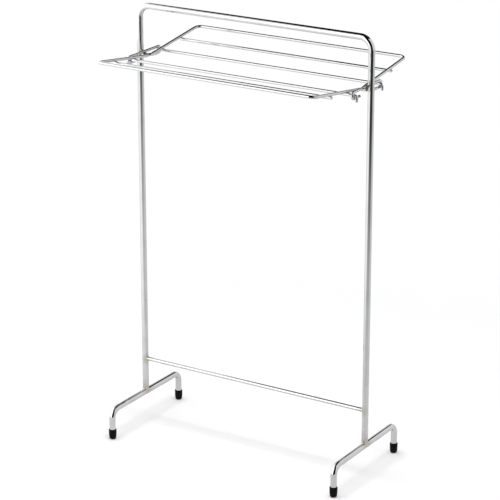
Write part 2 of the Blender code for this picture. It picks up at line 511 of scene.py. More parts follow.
@dataclass(frozen=True)
class Plating:
    """Bright chrome plating over steel."""

    name: str
    colour: tuple[float, float, float]
    roughness: float
    smudge: float
    heat_joints: tuple[tuple[tuple[float, float, float], float], ...] = ()
    heat_colour: tuple[float, float, float] = (0.47, 0.445, 0.385)
    smudge_colour: tuple[float, float, float] = (0.56, 0.565, 0.575)

    def material(self, marks: bpy.types.NodeTree, heat: bpy.types.NodeTree) -> bpy.types.Material:
        """Build the material.

        Args:
            marks: The group for polishing marks.
            heat: The group for weld haze.

        Returns:
            The new material.
        """
        material = bpy.data.materials.new(self.name)
        material.use_nodes = True
        wiring = Wiring(material.node_tree)
        shader = material.node_tree.nodes["Principled BSDF"]
        shader.inputs["Metallic"].default_value = 1.0
        worn = wiring.add("ShaderNodeGroup", node_tree=marks)
        worn.inputs["Roughness"].default_value = self.roughness
        worn.inputs["Smudge"].default_value = self.smudge
        colour = wiring.blend(worn.outputs["Smudges"], self.colour, self.smudge_colour)
        rough = worn.outputs["Roughness"]
        for joint, reach in self.heat_joints:
            haze = wiring.add("ShaderNodeGroup", node_tree=heat)
            haze.inputs["Joint"].default_value = joint
            haze.inputs["Reach"].default_value = reach
            colour = wiring.blend(haze.outputs["Heat"], colour, self.heat_colour)
            rough = wiring.maths("ADD", rough, wiring.maths("MULTIPLY", haze.outputs["Heat"], 0.10))
        wiring.join(colour, shader.inputs["Base Color"])
        wiring.join(rough, shader.inputs["Roughness"])
        bump = wiring.add("ShaderNodeBump")
        bump.inputs["Strength"].default_value = 0.06
        bump.inputs["Distance"].default_value = 0.00002
        wiring.join(worn.outputs["Height"], bump.inputs["Height"])
        wiring.join(bump.outputs["Normal"], shader.inputs["Normal"])
        return material


@dataclass(frozen=True)
class Rubber:
    """Black moulded rubber with a fine matt skin and a little floor dust low down."""

    name: str
    colour: tuple[float, float, float]
    dust_colour: tuple[float, float, float]
    roughness: float
    dust_height: float

    def material(self) -> bpy.types.Material:
        """Build the material.

        Returns:
            The new material.
        """
        material = bpy.data.materials.new(self.name)
        material.use_nodes = True
        wiring = Wiring(material.node_tree)
        shader = material.node_tree.nodes["Principled BSDF"]
        place = wiring.add("ShaderNodeTexCoord").outputs["Object"]
        parts = wiring.add("ShaderNodeSeparateXYZ")
        wiring.join(place, parts.inputs[0])
        skin = wiring.noise(place, 1800.0, 3.0)
        patches = wiring.noise(place, 240.0, 4.0)
        low = wiring.remap(parts.outputs["Z"], 0.0, self.dust_height, 1.0, 0.0)
        dusty = wiring.maths("MULTIPLY", low, wiring.remap(patches, 0.45, 0.75, 0.0, 0.5))
        mottled = wiring.blend(patches, self.colour, tuple(1.7 * channel for channel in self.colour))
        wiring.join(wiring.blend(dusty, mottled, self.dust_colour), shader.inputs["Base Color"])
        rough = wiring.remap(patches, 0.3, 0.7, self.roughness - 0.08, self.roughness + 0.08)
        wiring.join(rough, shader.inputs["Roughness"])
        shader.inputs["Specular IOR Level"].default_value = 0.07
        bump = wiring.add("ShaderNodeBump")
        bump.inputs["Strength"].default_value = 0.35
        bump.inputs["Distance"].default_value = 0.00006
        wiring.join(skin, bump.inputs["Height"])
        wiring.join(bump.outputs["Normal"], shader.inputs["Normal"])
        return material


@dataclass
class Finishes:
    """The materials of the stand."""

    tube: bpy.types.Material
    wire: bpy.types.Material
    weld: bpy.types.Material
    rubber: bpy.types.Material


# ---------------------------------------------------------------- sizes read from the frame


@dataclass(frozen=True)
class RoundBar:
    """A straight stretch of round stock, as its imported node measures."""

    low: Vector
    high: Vector
    radius: float

    @classmethod
    def of(cls, node: str, across: int) -> RoundBar:
        """Measure a node.

        Args:
            node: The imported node.
            across: The axis along which the node is one diameter thick.

        Returns:
            Its corners and radius.
        """
        low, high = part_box(node)
        return cls(low, high, (high[across] - low[across]) / 2)


@dataclass(frozen=True)
class Layout:
    """The places that the sub-assemblies share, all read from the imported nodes."""

    tube_radius: float
    upright_x: float
    bar_z: float
    foot_radius: float
    foot_bar_z: float
    leg_y: float
    cross_rod_radius: float
    cross_rod_z: float
    bracket_radius: float
    bracket_x: float
    arm_z: float

    @classmethod
    def read(cls) -> Layout:
        """Read the layout from the frame.

        Returns:
            The layout.
        """
        hoop = RoundBar.of("frame_hoop", 1)
        foot = RoundBar.of("right_foot", 0)
        rod = RoundBar.of("cross_rod", 1)
        bracket = RoundBar.of("right_hinge_bracket", 0)
        return cls(
            tube_radius=hoop.radius,
            upright_x=hoop.high.x - hoop.radius,
            bar_z=hoop.high.z - hoop.radius,
            foot_radius=foot.radius,
            foot_bar_z=foot.high.z - foot.radius,
            leg_y=foot.high.y - foot.radius,
            cross_rod_radius=rod.radius,
            cross_rod_z=(rod.low.z + rod.high.z) / 2,
            bracket_radius=bracket.radius,
            bracket_x=(bracket.low.x + bracket.high.x) / 2,
            arm_z=bracket.high.z - bracket.radius,
        )


# ---------------------------------------------------------------- the frame


def cut_round(piece: bpy.types.Object, centre: Vector, direction: Vector, radius: float) -> None:
    """Cope a piece with a round cutter, as a hole saw does.

    Args:
        piece: The piece to cut.
        centre: The middle of the cutter.
        direction: The way the cutter's axis points.
        radius: The cutter's radius.
    """
    select_none()
    bpy.ops.mesh.primitive_cylinder_add(
        vertices=CUTTER_SIDES,
        radius=radius,
        depth=CUTTER_RADII_LONG * radius,
        location=centre,
        rotation=direction.to_track_quat("Z", "Y").to_euler(),
    )
    cutter = bpy.context.object
    select_only(piece)
    cope = piece.modifiers.new("cope", "BOOLEAN")
    cope.operation = "DIFFERENCE"
    cope.object = cutter
    bpy.ops.object.modifier_apply(modifier=cope.name)
    bpy.data.objects.remove(cutter, do_unlink=True)


@dataclass
class TubeFrame:
    """The hoop, its two feet and the cross rod."""

    layout: Layout
    hoop_bend: float = 0.030
    foot_bend: float = 0.023
    leg_end: float = 0.0043

    def build(self, finishes: Finishes) -> None:
        """Form and dress the tubes.

        Args:
            finishes: The materials.
        """
        show_as(self.hoop(), "frame", Slot.CHROME_TUBE, finishes.tube, "frame_hoop")
        for side in Side:
            node = f"{side.name.lower()}_foot"
            show_as(self.foot(side), "frame", Slot.CHROME_TUBE, finishes.tube, node)
        show_as(self.cross_rod(), "frame", Slot.CHROME_TUBE, finishes.tube, "cross_rod")

    def hoop(self) -> bpy.types.Object:
        """Form the uprights and the top bar from one tube.

        Returns:
            The piece.
        """
        at = self.layout
        corners = [
            Vector((-at.upright_x, 0, at.foot_bar_z)),
            Vector((-at.upright_x, 0, at.bar_z)),
            Vector((at.upright_x, 0, at.bar_z)),
            Vector((at.upright_x, 0, at.foot_bar_z)),
        ]
        stock = BentStock(at.tube_radius, sides=48, end_edge=0.0)
        piece = stock.form("bent_tube_hoop", corners, [self.hoop_bend, self.hoop_bend])
        for side in Side:
            centre = Vector((side.value * at.upright_x, 0, at.foot_bar_z))
            cut_round(piece, centre, Vector((0, 1, 0)), at.foot_radius + WELD_GAP)
        smooth_by_angle(piece)
        return piece

    def foot(self, side: Side) -> bpy.types.Object:
        """Form one foot.

        Args:
            side: Which foot.

        Returns:
            The piece.
        """
        at = self.layout
        x = side.value * at.upright_x
        corners = [
            Vector((x, -at.leg_y, self.leg_end)),
            Vector((x, -at.leg_y, at.foot_bar_z)),
            Vector((x, at.leg_y, at.foot_bar_z)),
            Vector((x, at.leg_y, self.leg_end)),
        ]
        stock = BentStock(at.foot_radius, sides=48)
        return stock.form(f"{side.name.lower()}_bent_foot", corners, [self.foot_bend, self.foot_bend])

    def cross_rod(self) -> bpy.types.Object:
        """Form the cross rod, coped to both uprights.

        Returns:
            The piece.
        """
        at = self.layout
        ends = [Vector((side.value * at.upright_x, 0, at.cross_rod_z)) for side in Side]
        piece = BentStock(at.cross_rod_radius, end_edge=0.0).form("coped_cross_rod", ends, [])
        for end in ends:
            cut_round(piece, end, Vector((0, 0, 1)), at.tube_radius + WELD_GAP)
        smooth_by_angle(piece)
        return piece


@dataclass
class Ferrules:
    """The rubber ferrules, one turned for each leg."""

    layout: Layout
    wall: float = 0.0016
    floor: float = 0.004
    taper: float = 0.0010
    foot_edge: float = 0.0044
    rim_edge: float = 0.0005
    tread_depth: float = 0.0007
    tread_slope: float = 0.0004
    waist: float = 0.62
    heel: float = 0.34
    heel_taper: float = 0.35
    rim_steps: int = 3
    foot_steps: int = 7
    steps: int = 64

    def profile(self, height: float, bore: float) -> list[tuple[float, float]]:
        """The outline that is turned, from the middle of the inner floor to that of the tread.

        Args:
            height: The height of the ferrule.
            bore: The radius of its bore.

        Returns:
            The outline's radii and heights.
        """
        rim = bore + self.wall
        edge_z = height - self.rim_edge
        points = [(0.0, self.floor), (bore, self.floor), (bore, edge_z)]
        points += self.arc(bore + self.rim_edge, edge_z, self.rim_edge, 180, 90, self.rim_steps)
        points += self.arc(rim - self.rim_edge, edge_z, self.rim_edge, 90, 0, self.rim_steps)
        points += [(rim, height * self.waist), (rim - self.taper * self.heel_taper, height * self.heel)]
        base = rim - self.taper
        points += self.arc(base - self.foot_edge, self.foot_edge, self.foot_edge, 0, -90, self.foot_steps)
        ring = (base - self.foot_edge) / 3
        for turn in (2, 1):
            outer = ring * (turn + 0.35)
            inner = ring * (turn - 0.15)
            points += [(outer, 0.0), (outer - self.tread_slope, self.tread_depth)]
            points += [(inner + self.tread_slope, self.tread_depth), (inner, 0.0)]
        points.append((0.0, 0.0))
        return points

    @staticmethod
    def arc(
        x: float, z: float, radius: float, start: float, stop: float, steps: int
    ) -> list[tuple[float, float]]:
        """Points on an arc of the outline.

        Args:
            x: The centre's radius from the axis.
            z: The centre's height.
            radius: The arc's radius.
            start: The first angle, in degrees.
            stop: The last angle, in degrees.
            steps: How many points follow the first.

        Returns:
            The points, both ends included.
        """
        points = []
        for step in range(steps + 1):
            angle = math.radians(start + (stop - start) * step / steps)
            points.append((x + radius * math.cos(angle), z + radius * math.sin(angle)))
        return points

    def turn(self, name: str, centre: Vector, height: float, bore: float) -> bpy.types.Object:
        """Turn one ferrule by extruding its outline point by point and spinning it.

        Args:
            name: The name of the piece.
            centre: The middle of its base.
            height: Its height.
            bore: The radius of its bore.

        Returns:
            The piece.
        """
        piece = trace(name, [Vector((x, 0, z)) for x, z in self.profile(height, bore)])
        bpy.ops.mesh.spin(steps=self.steps, angle=2 * math.pi, center=(0, 0, 0), axis=(0, 0, 1))
        bpy.ops.object.mode_set(mode="OBJECT")
        close_and_orient(piece)
        piece.location = centre
        settle(piece)
        smooth_by_angle(piece, 35.0)
        return piece

    def build(self, finishes: Finishes) -> None:
        """Turn and dress the four ferrules.

        Args:
            finishes: The materials.
        """
        for side in Side:
            for end in End:
                node = f"{side.name.lower()}_{end.name.lower()}_ferrule"
                low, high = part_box(node)
                centre = Vector((side.value * self.layout.upright_x, end.value * self.layout.leg_y, 0.0))
                bore = (high.y - low.y) / 2 - self.wall
                piece = self.turn(f"moulded_{node}", centre, high.z - low.z, bore)
                show_as(piece, "frame", Slot.BLACK_RUBBER, finishes.rubber, node)


# ---------------------------------------------------------------- the hinges and racks


@dataclass
class HingeBrackets:
    """The bent wires on the uprights that hold the racks' hinge rods."""

    layout: Layout

    def build(self, finishes: Finishes) -> None:
        """Form and dress both brackets.

        Args:
            finishes: The materials.
        """
        for side in Side:
            node = f"{side.name.lower()}_hinge_bracket"
            piece = self.form(side, node)
            show_as(piece, "frame", Slot.CHROME_WIRE, finishes.wire, node)

    def form(self, side: Side, node: str) -> bpy.types.Object:
        """Form one bracket.

        Args:
            side: Which bracket.
            node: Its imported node.

        Returns:
            The piece.
        """
        at = self.layout
        low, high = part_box(node)
        nose = high.y - at.bracket_radius
        leg_z = low.z + at.bracket_radius
        bend = (at.arm_z - leg_z) / 2
        leg_tip = self.leg_tip()
        x = side.value * at.bracket_x
        corners = [
            Vector((x, -leg_tip, leg_z)),
            Vector((x, -nose, leg_z)),
            Vector((x, -nose, at.arm_z)),
            Vector((x, nose, at.arm_z)),
            Vector((x, nose, leg_z)),
            Vector((x, leg_tip, leg_z)),
        ]
        stock = BentStock(at.bracket_radius, sides=32, steps_per_quarter=14, end_edge=0.0006)
        return stock.form(f"hairpin_{node}", corners, [bend] * 4)

    @staticmethod
    def leg_tip() -> float:
        """How far from the upright the hairpins' lower legs end.

        Returns:
            The distance along Y.
        """
        low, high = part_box("right_hinge_bracket")
        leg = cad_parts["right_hinge_bracket"].data.vertices
        lower_half = (low.z + high.z) / 2
        return min(vertex.co.y for vertex in leg if vertex.co.z < lower_half and vertex.co.y > 0)


@dataclass
class Rack:
    """One folding rack: its border wire, middle rod and hinge rod."""

    layout: Layout
    end: End
    corner_bend: float = 0.016
    tail_bend: float = 0.006
    rod_end_bend: float = 0.0055
    body: str = field(init=False)

    def __post_init__(self) -> None:
        """Name the body that the rack's pieces ride on."""
        self.body = f"{self.end.name.lower()}_rack"

    def build(self, finishes: Finishes) -> None:
        """Form and dress the three pieces.

        Args:
            finishes: The materials.
        """
        pieces = {
            "border": self.border(),
            "middle_rod": self.middle_rod(),
            "hinge_rod": self.hinge_rod(),
        }
        for label, piece in pieces.items():
            show_as(piece, self.body, Slot.CHROME_WIRE, finishes.wire, f"{self.body}_{label}")

    def outward(self, node: str) -> tuple[float, float, float, float]:
        """How near and how far from the middle a node reaches, and how low and high.

        Args:
            node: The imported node.

        Returns:
            Its nearest and farthest distance along Y, and its lowest and highest Z.
        """
        low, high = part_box(node)
        spans = sorted((abs(low.y), abs(high.y)))
        return spans[0], spans[1], low.z, high.z

    def border(self) -> bpy.types.Object:
        """Form the border wire with its two tails.

        Returns:
            The piece.
        """
        node = f"{self.body}_border"
        near, far, low, high = self.outward(node)
        radius = self.wire_radius(node)
        tip_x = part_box(node)[1].x
        side_x = self.side_x(node, radius)
        inner_y, inner_z = near + radius, low + radius
        outer_y, outer_z = far - radius, high - radius
        sign = self.end.value
        corners = [
            Vector((-tip_x, sign * inner_y, inner_z)),
            Vector((-side_x, sign * inner_y, inner_z)),
            Vector((-side_x, sign * outer_y, outer_z)),
            Vector((side_x, sign * outer_y, outer_z)),
            Vector((side_x, sign * inner_y, inner_z)),
            Vector((tip_x, sign * inner_y, inner_z)),
        ]
        stock = BentStock(radius, sides=32, steps_per_quarter=14)
        bends = [self.tail_bend, self.corner_bend, self.corner_bend, self.tail_bend]
        return stock.form(f"{self.body}_border_wire", corners, bends)

    @staticmethod
    def wire_radius(node: str) -> float:
        """The radius of a border wire, from the flat end of its tail.

        Args:
            node: The border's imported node.

        Returns:
            The radius.
        """
        tip_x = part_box(node)[1].x
        same = 0.0001
        ends = [v.co.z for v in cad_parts[node].data.vertices if tip_x - v.co.x < same]
        return (max(ends) - min(ends)) / 2

    @staticmethod
    def side_x(node: str, radius: float) -> float:
        """Where the border's side wires run, from their outermost points beyond the tails.

        Args:
            node: The border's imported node.
            radius: The wire's radius.

        Returns:
            The distance of their centre line from the middle.
        """
        low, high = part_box(node)
        raised = (low.z + high.z) / 2
        spans = [v.co.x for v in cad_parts[node].data.vertices if v.co.z > raised]
        return max(spans) - radius

    def middle_rod(self) -> bpy.types.Object:
        """Form the middle rod.

        Returns:
            The piece.
        """
        node = f"{self.body}_middle_rod"
        low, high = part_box(node)
        centre = (low + high) / 2
        ends = [Vector((x, centre.y, centre.z)) for x in (low.x, high.x)]
        stock = BentStock((high.z - low.z) / 2, sides=32, end_edge=0.0008)
        return stock.form(f"{self.body}_straight_rod", ends, [])

    def hinge_rod(self) -> bpy.types.Object:
        """Form the hinge rod, with its ends bent down.

        Returns:
            The piece.
        """
        node = f"{self.body}_hinge_rod"
        low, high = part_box(node)
        radius = (high.y - low.y) / 2
        y = (low.y + high.y) / 2
        tip_x = high.x - radius
        corners = [
            Vector((-tip_x, y, low.z)),
            Vector((-tip_x, y, high.z - radius)),
            Vector((tip_x, y, high.z - radius)),
            Vector((tip_x, y, low.z)),
        ]
        stock = BentStock(radius, sides=32, steps_per_quarter=12)
        return stock.form(f"{self.body}_pivot_rod", corners, [self.rod_end_bend] * 2)


@dataclass
class Welds:
    """The small beads of weld that hold the tubes, wires and rods together."""

    layout: Layout
    bead: float = 0.0012
    spot: float = 0.0009
    sink: float = 0.0003
    ripple: float = 0.16
    ripples: int = 21
    spot_reach: float = 0.62
    arm_rise: float = 0.75
    arm_half_turn: float = 38.0
    points: int = 84

    def build(self, finishes: Finishes) -> None:
        """Lay and dress the beads of the frame and of both racks.

        Args:
            finishes: The materials.
        """
        at = self.layout
        beads = []
        for side in Side:
            name = side.name.lower()
            upright = Vector((side.value * at.upright_x, 0, 0))
            hoop_joint = upright + Vector((0, 0, at.foot_bar_z))
            up, rearward = Vector((0, 0, 1)), Vector((0, 1, 0))
            beads.append(self.saddle(f"{name}_foot_bead", hoop_joint, up, rearward, at.tube_radius))
            rod_joint = upright + Vector((0, 0, at.cross_rod_z))
            inward = Vector((-side.value, 0, 0))
            beads.append(self.saddle(f"{name}_rod_bead", rod_joint, inward, up, at.cross_rod_radius))
            beads.append(self.arm_fillet(f"{name}_arm_fillet", side))
        self.dress(beads, "frame_weld_beads", "frame", finishes)
        for end in End:
            body = f"{end.name.lower()}_rack"
            self.dress(self.crossings(body), f"{body}_weld_spots", body, finishes)

    def saddle(
        self, name: str, joint: Vector, away: Vector, along: Vector, radius: float
    ) -> bpy.types.Object:
        """Lay the bead round a tube or rod that stands on a tube.

        Args:
            name: The name of the bead.
            joint: Where the two centre lines meet.
            away: The way that the standing one leaves.
            along: The way that the other tube runs.
            radius: The radius of the standing one.

        Returns:
            The bead.
        """
        across = away.cross(along)
        base = self.layout.tube_radius
        ring = min(radius, base - self.sink)
        line = []
        for step in range(self.points):
            turn = 2 * math.pi * step / self.points
            out = ring * math.cos(turn)
            rise = math.sqrt(base * base - out * out)
            line.append(joint + across * out + along * (ring * math.sin(turn)) + away * rise)
        return self.lay(name, line, True, self.bead)

    def arm_fillet(self, name: str, side: Side) -> bpy.types.Object:
        """Lay the fillet over a bracket's arm, where it touches the upright.

        Args:
            name: The name of the fillet.
            side: Which upright.

        Returns:
            The fillet.
        """
        at = self.layout
        half_turn = math.radians(self.arm_half_turn)
        count = self.points // 4
        rise = at.bracket_radius * self.arm_rise
        line = []
        for step in range(count + 1):
            turn = half_turn * (2 * step / count - 1)
            x = at.upright_x - at.tube_radius * math.cos(turn)
            line.append(Vector((side.value * x, at.tube_radius * math.sin(turn), at.arm_z + rise)))
        return self.lay(name, line, False, self.bead)

    def crossings(self, body: str) -> list[bpy.types.Object]:
        """Lay a ring of weld where a rack's side wires cross its two rods.

        Args:
            body: The rack's body.

        Returns:
            The four rings.
        """
        border = f"{body}_border"
        radius = Rack.wire_radius(border)
        side_x = Rack.side_x(border, radius)
        tilt = self.rack_tilt(body)
        rings = []
        for label in ("hinge_rod", "middle_rod"):
            low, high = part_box(f"{body}_{label}")
            rod_radius = (high.y - low.y) / 2
            top = Vector((0, (low.y + high.y) / 2, high.z - rod_radius)) + tilt * rod_radius
            for side in Side:
                centre = top + Vector((side.value * side_x, 0, 0))
                rings.append(self.spot_ring(f"{body}_{label}_{side.name.lower()}", centre, tilt, radius))
        return rings

    @staticmethod
    def rack_tilt(body: str) -> Vector:
        """The way that is square to a rack's plane and upwards.

        Args:
            body: The rack's body.

        Returns:
            The direction.
        """
        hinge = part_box(f"{body}_hinge_rod")
        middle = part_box(f"{body}_middle_rod")
        hinge_radius = (hinge[1].y - hinge[0].y) / 2
        start = Vector((0, (hinge[0].y + hinge[1].y) / 2, hinge[1].z - hinge_radius))
        plane = (middle[0] + middle[1]) / 2 - start
        plane.x = 0
        square = Vector((1, 0, 0)).cross(plane).normalized()
        return square if square.z > 0 else -square

    def spot_ring(self, name: str, centre: Vector, tilt: Vector, wire_radius: float) -> bpy.types.Object:
        """Lay the flash of one spot weld, a flat ring round the touching point.

        Args:
            name: The name of the ring.
            centre: The touching point.
            tilt: The way that is square to the rack's plane.
            wire_radius: The radius of the border wire.

        Returns:
            The ring.
        """
        across = Vector((1, 0, 0))
        along = tilt.cross(across)
        reach = wire_radius * self.spot_reach
        count = self.points // 3
        turns = [2 * math.pi * step / count for step in range(count)]
        line = [centre + (across * math.cos(turn) + along * math.sin(turn)) * reach for turn in turns]
        return self.lay(name, line, True, self.spot)

    def lay(self, name: str, line: list[Vector], closed: bool, radius: float) -> bpy.types.Object:
        """Lay a bead along a line, with the even ripples of the puddle.

        Args:
            name: The name of the bead.
            line: The points that it follows.
            closed: Whether it runs back to its start.
            radius: Its mean radius.

        Returns:
            The bead, as a closed mesh.
        """
        bead = trace(name, line)
        if closed:
            bpy.ops.mesh.edge_face_add()
            bpy.ops.mesh.delete(type="ONLY_FACE")
        bpy.ops.object.mode_set(mode="OBJECT")
        bpy.ops.object.convert(target="CURVE")
        curve = bpy.context.object
        spline = curve.data.splines[0]
        last = len(spline.points) - 1
        for index, point in enumerate(spline.points):
            share = index / last
            swell = 1 + self.ripple * math.sin(2 * math.pi * self.ripples * share)
            point.radius = swell if closed else swell * math.sin(math.pi * (0.08 + 0.84 * share)) ** 0.5
        curve.data.bevel_depth = radius
        curve.data.bevel_resolution = 2
        curve.data.use_fill_caps = not closed
        bpy.ops.object.convert(target="MESH")
        piece = bpy.context.object
        close_and_orient(piece)
        return piece

    @staticmethod
    def dress(beads: list[bpy.types.Object], name: str, body: str, finishes: Finishes) -> None:
        """Join beads into one piece and dress it.

        Args:
            beads: The beads.
            name: The name of the piece.
            body: The body that it rides on.
            finishes: The materials.
        """
        select_none()
        for bead in beads:
            bead.select_set(True)
        bpy.context.view_layer.objects.active = beads[0]
        bpy.ops.object.join()
        piece = bpy.context.object
        piece.name = name
        smooth_by_angle(piece, 60.0)
        slot = Slot.CHROME_TUBE if body == "frame" else Slot.CHROME_WIRE
        show_as(piece, body, slot, finishes.weld)


# ---------------------------------------------------------------- the studio


@dataclass
class Studio:
    """The floor, the light, and the dark and bright surfaces that the chrome mirrors.

    Angles round the stand are in degrees from +X towards +Y.
    """

    floor_radius: float = 40.0
    floor_colour: tuple[float, float, float] = (0.93, 0.93, 0.935)
    even_light: float = 0.62
    floor_lift: float = 0.13
    wall_radius: float = 4.6
    wall_glow: float = 1.5
    low_rises: range = range(0, 49, 6)
    high_rises: range = range(56, 73, 8)
    dim_glow: float = 0.15
    dark_start: float = -92.0
    dark_sweep: float = 72.0
    dark_colour: tuple[float, float, float] = (0.012, 0.012, 0.014)
    # The mirrored floor: its glow, a painted pool of light to the left, and painted shade with a dark floor
    # to the right and far out.
    floor_glow: float = 0.96
    painted_left_light: float = 0.42
    far_shade: float = 0.76
    near_shade: float = 0.16
    right_shade: float = 0.1
    lamp_size: tuple[float, float] = (2.2, 0.8)
    lamp_place: tuple[float, float, float] = (0.0, -0.22, 3.3)
    lamp_tilt: float = -3.0
    lamp_energy: float = 46.0
    dim_heights: tuple[float, float] = (0.3, 3.0)
    dim_start: float = 100.0
    dim_sweep: float = 50.0
    ceiling_height: float = 2.5
    ceiling_outline: tuple[tuple[float, float], ...] = (
        (-0.45, -0.90),
        (-0.66, -0.52),
        (-0.83, -0.26),
        (-1.12, -0.12),
        (-1.40, 0.50),
        (-1.55, 1.20),
        (-1.62, 1.90),
        (-2.10, 2.50),
        (-2.75, 4.16),
        (-3.50, 5.60),
        (0.50, 5.60),
        (0.50, 2.80),
        (1.10, 2.20),
        (1.10, 0.00),
        (0.60, -0.90),
    )

    def build(self) -> None:
        """Set up the whole studio."""
        self.world()
        self.floor()
        self.lights()
        self.cards()
        bpy.context.scene.view_settings.view_transform = "Standard"

    @staticmethod
    def seen_directly(wiring: Wiring) -> bpy.types.NodeSocket:
        """Tell camera, mirror and glass rays from the rest.

        Args:
            wiring: The tree to add the nodes to.

        Returns:
            A socket that is 1 for those rays and 0 for the others.
        """
        path = wiring.add("ShaderNodeLightPath")
        seen = wiring.maths("MAXIMUM", path.outputs["Is Camera Ray"], path.outputs["Is Glossy Ray"])
        return wiring.maths("MAXIMUM", seen, path.outputs["Is Transmission Ray"])

    def world(self) -> None:
        """Light the room evenly in white."""
        world = bpy.data.worlds.new("white_room")
        bpy.context.scene.world = world
        world.use_nodes = True
        wiring = Wiring(world.node_tree)
        background = world.node_tree.nodes["Background"]
        background.inputs["Color"].default_value = (1, 1, 1, 1)
        rest = wiring.maths("MULTIPLY", self.seen_directly(wiring), 1 - self.even_light)
        wiring.join(wiring.maths("ADD", rest, self.even_light), background.inputs["Strength"])

    def floor(self) -> None:
        """Lay a white floor that keeps the stand's shadow and is plain white far out."""
        select_none()
        bpy.ops.mesh.primitive_circle_add(vertices=96, radius=self.floor_radius, fill_type="NGON")
        floor = bpy.context.object
        floor.name = "floor"
        material = bpy.data.materials.new("white_floor")
        material.use_nodes = True
        wiring = Wiring(material.node_tree)
        shader = material.node_tree.nodes["Principled BSDF"]
        shader.inputs["Roughness"].default_value = 0.9
        shader.inputs["Specular IOR Level"].default_value = 0.0
        place = wiring.add("ShaderNodeTexCoord").outputs["Object"]
        far = self.distance_ramp(wiring, place, 0.55, 1.5)
        faint = wiring.remap(wiring.noise(place, 3.0, 3.0), 0.3, 0.7, 0.0, 1.0)
        paler = tuple(min(1.0, channel + 0.01) for channel in self.floor_colour)
        near_colour = wiring.blend(faint, self.floor_colour, paler)
        seen = self.seen_directly(wiring)
        hide = wiring.maths("MULTIPLY", seen, far)
        wiring.join(wiring.blend(hide, near_colour, (0.0, 0.0, 0.0)), shader.inputs["Base Color"])
        lift = wiring.maths("ADD", wiring.maths("MULTIPLY", far, 1 - self.floor_lift), self.floor_lift)
        shader.inputs["Emission Color"].default_value = (1, 1, 1, 1)
        wiring.join(wiring.maths("MULTIPLY", lift, seen), shader.inputs["Emission Strength"])
        floor.data.materials.append(material)

    @staticmethod
    def distance_ramp(
        wiring: Wiring, place: bpy.types.NodeSocket, near: float, far: float
    ) -> bpy.types.NodeSocket:
        """Ramp from 0 to 1 with the distance from the middle of the stand.

        Args:
            wiring: The tree to add the nodes to.
            place: The coordinates' socket.
            near: The distance at which the ramp starts.
            far: The distance at which it ends.

        Returns:
            The ramp's socket.
        """
        span = wiring.add("ShaderNodeVectorMath", operation="LENGTH")
        wiring.join(place, span.inputs[0])
        return wiring.remap(span.outputs["Value"], near, far, 0.0, 1.0)

    def lights(self) -> None:
        """Hang one long soft light over the stand."""
        lamp = bpy.data.lights.new("overhead", "AREA")
        lamp.shape = "RECTANGLE"
        lamp.size, lamp.size_y = self.lamp_size
        lamp.energy = self.lamp_energy
        light = bpy.data.objects.new("overhead", lamp)
        light.location = self.lamp_place
        light.rotation_euler = (math.radians(self.lamp_tilt), 0.0, 0.0)
        light.visible_camera = False
        light.visible_glossy = False
        bpy.context.scene.collection.objects.link(light)

    def cards(self) -> None:
        """Stand the cards round the set that give the chrome its bright and dark bands."""
        bright = self.card_material("bright_card", (1.0, 1.0, 1.0), self.wall_glow)
        dark = self.card_material("dark_card", self.dark_colour, 0.0)
        disc = [(0.02, 0.002), (1.0, 0.002), (9.0, 0.002)]
        self.turned_card("mirrored_floor", disc, 0.0, 360.0, self.mirrored_floor_material())
        wall = self.wall_outline(self.low_rises)
        self.turned_card("bright_wall", wall, -200.0, 200.0 + self.dark_start, bright)
        tall = wall + self.wall_outline(self.high_rises)
        self.turned_card("dark_wall", tall, self.dark_start, self.dark_sweep, dark)
        self.flat_card("dark_ceiling", self.ceiling_outline, self.ceiling_height, dark)
        dim = self.card_material("dim_card", (1.0, 1.0, 1.0), self.dim_glow)
        upright = [(self.wall_radius, height) for height in self.dim_heights]
        self.turned_card("dim_wall", upright, self.dim_start, self.dim_sweep, dim)

    def wall_outline(self, rises: range) -> list[tuple[float, float]]:
        """Points up a wall that curves inwards like a dome.

        Args:
            rises: How far up each point is, in degrees from the floor.

        Returns:
            The points' radii and heights.
        """
        turns = [math.radians(rise) for rise in rises]
        return [(self.wall_radius * math.cos(turn), self.wall_radius * math.sin(turn)) for turn in turns]

    def mirrored_floor_material(self) -> bpy.types.Material:
        """The floor as the chrome sees it, with painted light: a painted pool of light makes it brighter to
        the left, and painted shade together with a dark floor darkens it far out to the right.

        Returns:
            The new material.
        """
        material = self.card_material("mirrored_floor", (1.0, 1.0, 1.0), 1.0)
        wiring = Wiring(material.node_tree)
        shader = material.node_tree.nodes["Principled BSDF"]
        shader.inputs["Base Color"].default_value = (0, 0, 0, 1)
        place = wiring.add("ShaderNodeTexCoord").outputs["Object"]
        parts = wiring.add("ShaderNodeSeparateXYZ")
        wiring.join(place, parts.inputs[0])
        angle = wiring.maths("ARCTAN2", parts.outputs["Y"], parts.outputs["X"])

        def round_ramp(start: float, stop: float, first: float, last: float) -> bpy.types.NodeSocket:
            """Ramp from one value to another between two angles, in degrees."""
            return wiring.remap(angle, math.radians(start), math.radians(stop), first, last)

        left = round_ramp(self.dark_start - 6, self.dark_start + 6, 1.0, 0.0)
        enters = round_ramp(self.dark_start - 4, self.dark_start + 14, 0.0, 1.0)
        leaves = round_ramp(-30, 26, 1.0, 0.0)
        sector = wiring.maths("MULTIPLY", enters, leaves)
        beyond = self.distance_ramp(wiring, place, 0.5, 3.8)
        close = self.distance_ramp(wiring, place, 0.1, 0.6)
        # Painted light: a pool of light painted on the floor's left side, stronger with the distance from the
        # stand.
        painted_left_light = wiring.maths("MULTIPLY", left, self.distance_ramp(wiring, place, 0.2, 1.6))
        glow = wiring.maths("ADD", self.floor_glow, wiring.maths("MULTIPLY", painted_left_light, self.painted_left_light))
